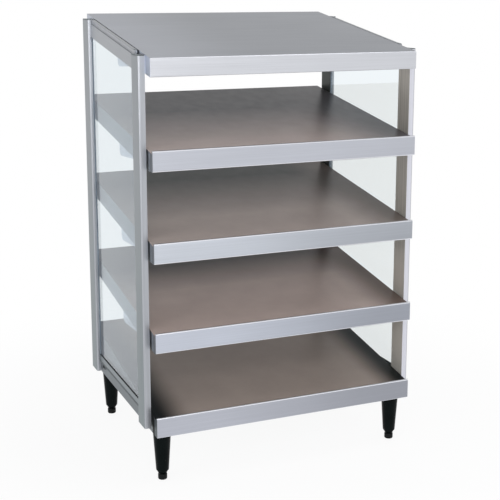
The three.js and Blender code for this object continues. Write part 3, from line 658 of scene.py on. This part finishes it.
def dressTray(nodeName, level):
    isBase = level == "base"
    tray = mergedCopy(nodeName, "brushed_" + nodeName)
    faceY = at(0, 0, 0).y
    returnY = at(0, trayStyle["returnDepth"], 0).y
    postY = at(0, trayStyle["postFront"], 0).y
    bendFront(tray, faceY, fronts[level] * mm, trayStyle)
    cutAcross(tray, returnY)
    cutAcross(tray, returnY + trayStyle["step"] * mm)
    if isBase:
        cutAcross(tray, postY)
    for vertex in tray.data.vertices:
        onWall = abs(abs(vertex.co.x) - halfWidth * mm) < trayStyle["wallMargin"] * mm
        if onWall and vertex.co.y > returnY + trayStyle["stepMargin"] * mm:
            vertex.co.x -= math.copysign(trayStyle["setIn"] * mm, vertex.co.x)
    sideX = (halfWidth - trayStyle["wallThick"]) * mm
    hemY = faceY + trayStyle["hemDepth"] * mm
    # Painted shade on the returns and the base's walls
    rules = [("darkReturnPaintedShade" if isBase else "returnPaintedShade",
              lambda c, n: abs(n.x) > broadly and abs(c.x) > sideX and c.y < returnY),
             ("baseSidePaintedShade" if isBase else "sideSheet",
              lambda c, n: abs(n.y) < squarely and abs(c.x) > sideX and c.y > returnY)]
    if isBase:
        # Painted shade: black on the base's walls between its return and the front posts
        rules.append(("gasketAndPaintedShade", lambda c, n: abs(n.x) > broadly and abs(c.x) > sideX
                      and returnY < c.y < postY))
    # The hem and lower bend get a painted highlight
    rules += [("rearSheet", lambda c, n: n.y > broadly or n.z < -broadly),
              ("hemPaintedHighlight", lambda c, n: c.y < hemY and abs(n.z) > trayStyle["hemFrom"]
               and -trayStyle["hemTo"] < n.y < -trayStyle["hemFrom"])]
    complete(tray, trayStyle["edge"], level + "Fascia", "stainless", replaces=nodeName,
             rules=rules)


deckStyle = {"edge": 0.5}
for level in levels:
    dressTray("base_housing" if level == "base" else level + "_tray", level)
    refinish(level + "_deck", "hardcoat_" + level + "_deck", deckStyle["edge"], level + "Deck",
             "hardcoat_deck")
    paint(level + "_heating_pad", "silicone")
print("trays and decks dressed")

# Heaters: bright hoods, tinted rods with ceramic ends and plated pins, round-edged guard wires
heaterStyle = {"count": 4, "hoodEdge": 0.3, "wireRound": 1.0, "ceramicFrom": 418.5,
               "pinFrom": 432.5}
ceramicX, pinX = heaterStyle["ceramicFrom"] * mm, heaterStyle["pinFrom"] * mm
for number in range(1, heaterStyle["count"] + 1):
    heater = f"heater_{number}_"
    refinish(heater + "hood", "bright_" + heater + "hood", heaterStyle["hoodEdge"], "reflector",
             "bright_reflector")
    rod = mergedCopy(heater + "element", "tinted_" + heater + "element")
    dress(rod, "sheath", [("ceramic", lambda c, n: ceramicX < abs(c.x) < pinX),
                          ("plating", lambda c, n: abs(c.x) >= pinX)], smooth=50.0)
    settle(rod, replaces=heater + "element")
    refinish(heater + "guard", "plated_" + heater + "guard", heaterStyle["wireRound"], "plating",
             "plated_wire", segments=3, smooth=60.0, joinFlat=False)
print("heaters dressed")

# Knobs and rockers, and the plain pieces inside, behind and below
controlStyle = {"knobEdge": 0.5, "rockerEdge": 0.6, "plainEdge": 0.4}
for level in levels:
    refinish(level + "_knob", "moulded_" + level + "_knob", controlStyle["knobEdge"], "control",
             "control_plastic", body=level + "_thermostat")
    refinish(level + "_switch", "moulded_" + level + "_rocker", controlStyle["rockerEdge"],
             "control", "control_plastic", body=level + "_rocker", segments=3)
for nodeName, finishName, slotName in (
        ("supply_gland", "control", "control_plastic"),
        ("terminal_block", "control", "control_plastic"),
        ("wiring_harness", "sleeve", "wire_sleeve"),
        ("base_pan", "galvanised", "galvanised_sheet")):
    refinish(nodeName, "dressed_" + nodeName, controlStyle["plainEdge"], finishName, slotName)
print("controls dressed")

# Legs and feet, turned from profiles of (radius, height): a leg starts at the end of its threaded
# hole, a foot at the end of its stem
legStyle = {
    "x": 421.5, "rows": {"front": 62.0, "rear": 668.0}, "steps": 64,
    "legProfile": [(6.6, 78.0), (6.6, 25.0), (15.8, 25.0), (16.4, 25.6), (16.5, 30.2),
                   (17.4, 30.8), (19.6, 31.2), (20.4, 32.0), (21.0, 34.0), (29.3, 160.0),
                   (29.4, 163.8), (30.4, 164.0), (31.0, 164.6), (31.0, 167.4), (30.6, 168.0)],
    "footProfile": [(5.4, 72.7), (6.0, 72.4), (6.0, 22.4), (9.0, 20.4), (13.0, 19.0),
                    (14.4, 18.0), (15.0, 16.4), (15.0, 4.2), (14.8, 2.2), (13.6, 0.6),
                    (11.5, 0.0)],
}


# A circle, then one extrusion and one scaling for each pair of the profile
def turnedPiece(name, profile, steps, capped=True):
    radius, height = profile[0]
    deselectAll()
    bpy.ops.mesh.primitive_circle_add(
        vertices=steps, radius=radius * mm, location=(0, 0, height * mm),
        fill_type="NGON" if capped else "NOTHING")
    piece = justAdded(name)
    startEdit(piece, "FACE" if capped else "EDGE")
    bpy.ops.mesh.select_all(action="SELECT")
    for nextRadius, nextHeight in profile[1:]:
        bpy.ops.mesh.extrude_region_move(
            TRANSFORM_OT_translate={"value": (0, 0, (nextHeight - height) * mm)})
        bpy.ops.transform.resize(value=(nextRadius / radius, nextRadius / radius, 1.0),
                                 center_override=(0, 0, nextHeight * mm))
        radius, height = nextRadius, nextHeight
    bpy.ops.mesh.select_all(action="SELECT")
    bpy.ops.mesh.remove_doubles(threshold=weldWithin / 2)
    bpy.ops.mesh.normals_make_consistent(inside=False)
    stopEdit()
    return piece


legMaster = turnedPiece("legMaster", legStyle["legProfile"], legStyle["steps"])
dress(legMaster, "leg", smooth=40.0)
footMaster = turnedPiece("footMaster", legStyle["footProfile"], legStyle["steps"])
dress(footMaster, "foot", smooth=40.0)
for corner in corners:
    row, side = corner.split("_")
    move = Matrix.Translation(at(legStyle["x"] * sides[side], legStyle["rows"][row], 0))
    leg = copied(legMaster, "moulded_leg_" + corner, move)
    settle(leg, replaces="leg_" + corner)
    foot = copied(footMaster, "moulded_foot_" + corner, move)
    settle(foot, "leveller_" + corner, "foot_" + corner)
discard(legMaster, footMaster)
print("legs and feet made")

# Seal between each bottom rail and the base: a grey rubber strip with a rounded lip
sealStyle = {"from": 124.0, "to": 630.0, "low": 220.6, "high": 229.2, "inner": 458.6,
             "outer": 471.6, "round": 1.2}
for side in sides:
    west, east = between(side, sealStyle["inner"], sealStyle["outer"])
    seal = blockPiece("rail_seal_" + side, at(west, sealStyle["from"], sealStyle["low"]),
                      at(east, sealStyle["to"], sealStyle["high"]))
    complete(seal, sealStyle["round"], "seal", "foot_plastic", segments=3)

# Glazing gaskets: thin lips round each pane that stand out of the posts and rails, grey, and black
# along its foot
gasketStyle = {"half": 4.2, "proud": 1.6, "centre": 465.75, "front": 122.5, "rear": 631.0,
               "foot": 247.0, "railDrop": 62.0, "topAtFront": 1363.7, "intoRail": 1.0,
               "round": 0.5}


# Underside of a top rail at a distance y behind the fronts
def railUnder(y):
    return gasketStyle["topAtFront"] + slope * y - gasketStyle["railDrop"]


for side in sides:
    west, east = between(side, gasketStyle["centre"] - gasketStyle["half"],
                         gasketStyle["centre"] + gasketStyle["half"])
    foot, proud = gasketStyle["foot"], gasketStyle["proud"]
    frontLip = (gasketStyle["front"], gasketStyle["front"] + proud)
    rearLip = (gasketStyle["rear"] - proud, gasketStyle["rear"])
    for row, (lipFrom, lipTo) in (("front", frontLip), ("rear", rearLip)):
        strip = blockPiece(f"glazing_gasket_{row}_{side}", at(west, lipFrom, foot),
                           at(east, lipTo, railUnder(lipFrom) + gasketStyle["intoRail"]))
        complete(strip, gasketStyle["round"], "greyGasket", "foot_plastic")
    strip = blockPiece("glazing_gasket_foot_" + side, at(west, frontLip[1], foot),
                       at(east, rearLip[0], foot + proud))
    complete(strip, gasketStyle["round"], "gasketAndPaintedShade", "foot_plastic")
    strip = blockPiece("glazing_gasket_head_" + side, at(west, frontLip[1], 0.0),
                       at(east, rearLip[0], proud))
    for vertex in strip.data.vertices:
        vertex.co.z += (railUnder(vertex.co.y / mm + halfDepth) - proud) * mm
    complete(strip, gasketStyle["round"], "greyGasket", "foot_plastic")
print("gaskets made")

# Pan-head screw: a domed head with a cross recess, modelled once at the origin facing +Z and
# copied to each place
screwStyle = {"head": 3.9, "rise": 2.0, "dome": 1.3, "steps": 24,
              "recess": 2.1, "slot": 0.62, "depth": 1.1}
headTop = screwStyle["rise"] * mm
deselectAll()
bpy.ops.mesh.primitive_cylinder_add(
    vertices=screwStyle["steps"], radius=screwStyle["head"] * mm, depth=headTop,
    location=(0, 0, headTop / 2))
screwMaster = justAdded("screwMaster")
bevelPicked(screwMaster, lambda a, b: min(a.z, b.z) > headTop - weldWithin / 2,
            screwStyle["dome"])
slotLong, slotWide = 2 * screwStyle["recess"] * mm, screwStyle["slot"] * mm
slotDeep = 2 * screwStyle["depth"] * mm
for slotSize in ((slotWide, slotLong, slotDeep), (slotLong, slotWide, slotDeep)):
    deselectAll()
    bpy.ops.mesh.primitive_cube_add(size=1, location=(0, 0, headTop), scale=slotSize)
    cutter = bpy.context.object
    bpy.ops.object.transform_apply(location=False, rotation=False, scale=True)
    alone(screwMaster)
    cross = screwMaster.modifiers.new("cross", "BOOLEAN")
    cross.operation = "DIFFERENCE"
    cross.object = cutter
    bpy.ops.object.modifier_apply(modifier=cross.name)
    discard(cutter)
dress(screwMaster, "plating", smooth=40.0)


def screwAt(name, point, normal):
    turn = Vector(normal).to_track_quat("Z", "Y").to_matrix().to_4x4()
    settle(copied(screwMaster, name, Matrix.Translation(point) @ turn))


# Rows along the rear walls, and round the base's flanges underneath
screwRows = {
    "wallX": (-436.0, -160.0, 60.0, 250.0, 436.0), "wallDrop": 12.0, "wallFoot": 12.0,
    "topZ": 1449.0, "flangeX": (-380.0, -190.0, 0.0, 190.0, 380.0),
    "flangeY": {"front": 10.0, "rear": 725.0},
}
for level in levels:
    high = deckAt(level, rearWall) - screwRows["wallDrop"]
    for index, x in enumerate(screwRows["wallX"], start=1):
        screwAt(f"rear_screw_{level}_{index}", at(x, rearWall, high), (0, 1, 0))
low = fronts["base"] + screwRows["wallFoot"]
for index, x in enumerate(screwRows["wallX"], start=1):
    screwAt(f"rear_screw_foot_{index}", at(x, rearWall, low), (0, 1, 0))
    screwAt(f"rear_screw_top_{index}", at(x, rearWall, screwRows["topZ"]), (0, 1, 0))
for row, y in screwRows["flangeY"].items():
    for index, x in enumerate(screwRows["flangeX"], start=1):
        screwAt(f"under_screw_{row}_{index}", at(x, y, fronts["base"]), (0, 0, -1))
print("screws placed")

# Aluminium strip that closes the joint between the top cover's ends and the front posts
jointStyle = {"inner": 457.1, "outer": 460.4, "from": 50.7, "to": 60.7, "low": 1315.0,
              "high": 1370.6, "edge": 0.4}
for side in sides:
    west, east = between(side, jointStyle["inner"], jointStyle["outer"])
    strip = blockPiece("joint_strip_" + side, at(west, jointStyle["from"], jointStyle["low"]),
                       at(east, jointStyle["to"], jointStyle["high"]))
    # The strip takes the painted light of the top cover's ends
    complete(strip, jointStyle["edge"], "topReturnPaintedLight", "post_aluminium")
print("joint strips made")

# Plug at each end of a top rail's bead: grey, rounded, held by one screw
plugStyle = {"x": 465.5, "length": 15.0, "width": 8.0, "rise": 0.6, "sunk": 2.0, "round": 0.5,
             "screwDrop": 1.4, "rows": {"front": 131.5, "rear": 621.5}}
halfLong, halfWide = plugStyle["length"] / 2, plugStyle["width"] / 2
for side in sides:
    x = sides[side] * plugStyle["x"]
    for row, y in plugStyle["rows"].items():
        z = gasketStyle["topAtFront"] + slope * y
        plug = blockPiece(f"rail_plug_{row}_{side}",
                          at(x - halfWide, y - halfLong, z - plugStyle["sunk"]),
                          at(x + halfWide, y + halfLong, z + plugStyle["rise"]))
        for vertex in plug.data.vertices:
            vertex.co.z += slope * (vertex.co.y - at(0, y, 0).y)
        complete(plug, plugStyle["round"], "cap", "cap_plastic", segments=3)
        screwZ = z + plugStyle["rise"] - plugStyle["screwDrop"]
        screwAt(f"rail_screw_{row}_{side}", at(x, y, screwZ), (0, -slope, 1))
print("plugs made")

# Dials behind the knobs: an etched ring with printed ticks and numbers
dialStyle = {"x": -307.0, "drop": 27.0, "inner": 18.0, "outer": 24.2, "thick": 0.45, "edge": 0.12,
             "steps": 72, "marks": 9, "sweep": 270.0, "tickInner": 18.6, "tickOuter": 20.0,
             "tickWidth": 0.7, "tickThick": 0.12, "tickEdge": 0.03, "numberRadius": 22.1,
             "numberSize": 4.2, "numberThick": 0.06, "lift": 0.02}

# Turns a piece modelled flat, facing +Z with +Y up, to stand on a rear wall facing +Y with +Z up
standUp = Matrix(((-1, 0, 0, 0), (0, 0, 1, 0), (0, 1, 0, 0), (0, 0, 0, 1)))

ringMaster = turnedPiece("ringMaster", [
    (dialStyle["inner"], 0.0), (dialStyle["outer"], 0.0),
    (dialStyle["outer"], dialStyle["thick"]), (dialStyle["inner"], dialStyle["thick"]),
    (dialStyle["inner"], 0.0)], dialStyle["steps"], capped=False)
softenEdges(ringMaster, dialStyle["edge"])
dress(ringMaster, "dial")
printZ = (dialStyle["thick"] + dialStyle["lift"]) * mm
tickY = (dialStyle["tickInner"] + dialStyle["tickOuter"]) / 2 * mm
tickSize = (dialStyle["tickWidth"] * mm, (dialStyle["tickOuter"] - dialStyle["tickInner"]) * mm,
            dialStyle["tickThick"] * mm)
numberRadius = dialStyle["numberRadius"] * mm
dialMarks = []
for index in range(dialStyle["marks"]):
    angle = math.radians(dialStyle["sweep"] * index / (dialStyle["marks"] - 1))
    deselectAll()
    bpy.ops.mesh.primitive_cube_add(size=1, scale=tickSize)
    tick = justAdded("tick")
    tick.data.transform(Matrix.Rotation(-angle, 4, "Z") @ Matrix.Translation((0, tickY, printZ)))
    softenEdges(tick, dialStyle["tickEdge"], 1)
    dialMarks.append(tick)
    if index % 2 == 0:  # every second tick has a number
        number = letterPiece(str(index // 2), dialStyle["numberSize"], dialStyle["numberThick"])
        number.data.transform(Matrix.Translation((
            numberRadius * math.sin(angle), numberRadius * math.cos(angle), printZ)))
        dialMarks.append(number)
deselectAll()
for mark in dialMarks:
    mark.select_set(True)
bpy.context.view_layer.objects.active = dialMarks[0]
bpy.ops.object.join()
markMaster = bpy.context.object
markMaster.name = "markMaster"
dress(markMaster, "print", smooth=20.0)
for level in levels:
    centre = at(dialStyle["x"], rearWall, deckAt(level, rearWall) - dialStyle["drop"])
    move = Matrix.Translation(centre) @ standUp
    settle(copied(ringMaster, "dial_ring_" + level, move))
    settle(copied(markMaster, "dial_marks_" + level, move))
discard(screwMaster, ringMaster, markMaster)

# White pointer line on each knob, in two steps: on its face and on the end of its rib, each from
# one radius to another, on a surface so far behind the fronts
pointerStyle = {"half": 0.8, "proud": 0.15, "sunk": 0.2, "edge": 0.06,
                "face": (2.6, 9.2, 752.3), "rib": (11.6, 15.1, 750.8)}
for level in levels:
    axis = deckAt(level, rearWall) - dialStyle["drop"]
    west, east = (dialStyle["x"] + k * pointerStyle["half"] for k in (-1, 1))
    strokes = []
    for low, high, y in (pointerStyle["face"], pointerStyle["rib"]):
        stroke = blockPiece("pointer_line_" + level,
                            at(west, y - pointerStyle["sunk"], axis + low),
                            at(east, y + pointerStyle["proud"], axis + high))
        softenEdges(stroke, pointerStyle["edge"])
        strokes.append(stroke)
    strokes[0].select_set(True)
    bpy.ops.object.join()
    pointer = bpy.context.object
    dress(pointer, "pointer")
    settle(pointer, level + "_thermostat")

# O on the half of each rocker that is pressed at rest, I on the half that stands out: the letter,
# its place, and its tilt in degrees
rockerStyle = {"x": -249.0, "size": 6.0, "thick": 0.06,
               "marks": {"off": ("O", 738.66, 6.9, -1.7), "on": ("I", 740.87, -5.2, 21.8)}}
for level in levels:
    axis = deckAt(level, rearWall) - dialStyle["drop"]
    for word, (letter, y, z, tilt) in rockerStyle["marks"].items():
        mark = letterPiece(letter, rockerStyle["size"], rockerStyle["thick"])
        mark.name = f"switch_mark_{word}_{level}"
        mark.data.transform(Matrix.Translation(at(rockerStyle["x"], y, axis + z))
                            @ Matrix.Rotation(math.radians(tilt), 4, "X") @ standUp)
        dress(mark, "pointer", smooth=20.0)
        settle(mark, level + "_rocker")
print("dials made")

# Floor, light and camera, in metres
floorSettings = {"size": 40.0, "colour": "#f6f7f8", "roughness": 0.65,
                 "near": 0.5, "far": 1.8, "nearGlow": 0.9}
lightSettings = {
    "key": {"place": (-1.2, -3.9, 2.3), "aim": (0.0, 0.0, 0.6), "size": 2.2, "watts": 65.0},
    "side": {"place": (-3.4, -1.5, 1.5), "aim": (0.0, 0.0, 0.8), "size": 1.4, "watts": 22.0},
    "top": {"place": (1.2, -0.8, 4.2), "aim": (0.0, 0.0, 0.6), "size": 2.5, "watts": 40.0},
}
skySettings = {"low": 1.0, "high": 0.24, "lowTo": 0.54, "highFrom": 0.7}
cameraSettings = {
    "place": (-1.435, -3.450, 1.566), "yaw": 22.87, "pitch": 11.07,
    "lens": 77.8, "sensor": 36.0, "shiftY": -0.1, "reach": 100.0,
}

deselectAll()
bpy.ops.mesh.primitive_plane_add(size=floorSettings["size"], location=(0, 0, 0))
floor = bpy.context.object
floor.name = "studioFloor"
floorFinish, floorTree, floorShader, floorPlace = newFinish("studioFloorPaint", {
    "Base Color": linear(floorSettings["colour"]), "Roughness": floorSettings["roughness"]})
# Far from the object the floor turns to the plain white backdrop, for the eye, metal and glass
# alike
floorReach = addNode(floorTree, "ShaderNodeVectorMath", {"operation": "LENGTH"},
                     links={0: floorPlace})
floorFar = addNode(floorTree, "ShaderNodeMapRange", {"interpolation_type": "SMOOTHSTEP"}, {
    "From Min": floorSettings["near"], "From Max": floorSettings["far"],
    "To Min": floorSettings["nearGlow"], "To Max": 1.0}, {"Value": floorReach.outputs["Value"]})
floorRays = addNode(floorTree, "ShaderNodeLightPath").outputs
floorSeen = addNode(floorTree, "ShaderNodeMath", {"operation": "MAXIMUM"}, links={
    0: floorRays["Is Camera Ray"], 1: floorRays["Is Glossy Ray"]})
floorSeenAll = addNode(floorTree, "ShaderNodeMath", {"operation": "MAXIMUM"}, links={
    0: floorSeen.outputs["Value"], 1: floorRays["Is Transmission Ray"]})
floorShare = addNode(floorTree, "ShaderNodeMath", {"operation": "MULTIPLY"}, links={
    0: floorFar.outputs["Result"], 1: floorSeenAll.outputs["Value"]})
floorGlow = addNode(floorTree, "ShaderNodeEmission", values={"Color": grey(1.0), "Strength": 1.0})
floorMix = addNode(floorTree, "ShaderNodeMixShader", links={
    0: floorShare.outputs["Value"], 1: floorShader.outputs["BSDF"],
    2: floorGlow.outputs["Emission"]})
floorTree.links.new(floorMix.outputs["Shader"],
                    floorTree.nodes["Material Output"].inputs["Surface"])
floor.data.materials.append(floorFinish)

for name, light in lightSettings.items():
    aim = Vector(light["aim"]) - Vector(light["place"])
    bpy.ops.object.light_add(type="AREA", location=light["place"],
                             rotation=aim.to_track_quat("-Z", "Y").to_euler())
    lamp = bpy.context.object
    lamp.name = name + "Light"
    lamp.data.size = light["size"]
    lamp.data.energy = light["watts"]

world = bpy.data.worlds.new("studio")
bpy.context.scene.world = world
world.use_nodes = True
worldTree = world.node_tree
sky = worldTree.nodes["Background"]
skyPlace = addNode(worldTree, "ShaderNodeTexCoord").outputs["Generated"]
skyAxes = addNode(worldTree, "ShaderNodeSeparateXYZ", links={"Vector": skyPlace})
skyTone = addNode(worldTree, "ShaderNodeValToRGB", links={"Fac": skyAxes.outputs["Z"]}, stops=(
    (skySettings["lowTo"], grey(skySettings["low"])),
    (skySettings["highFrom"], grey(skySettings["high"]))))
worldTree.links.new(skyTone.outputs["Color"], sky.inputs["Color"])
sky.inputs["Strength"].default_value = 1.0

bpy.ops.object.camera_add(location=cameraSettings["place"])
camera = bpy.context.object
camera.name = "studioCamera"
yaw, pitch = (math.radians(cameraSettings[k]) for k in ("yaw", "pitch"))
forward = Vector((math.sin(yaw) * math.cos(pitch), math.cos(yaw) * math.cos(pitch),
                  -math.sin(pitch)))
camera.rotation_euler = forward.to_track_quat("-Z", "Y").to_euler()
camera.data.lens = cameraSettings["lens"]
camera.data.sensor_width = cameraSettings["sensor"]
camera.data.shift_y = cameraSettings["shiftY"]
camera.data.clip_end = cameraSettings["reach"]
bpy.context.scene.camera = camera
bpy.context.scene.view_settings.view_transform = "Standard"
print("studio ready")
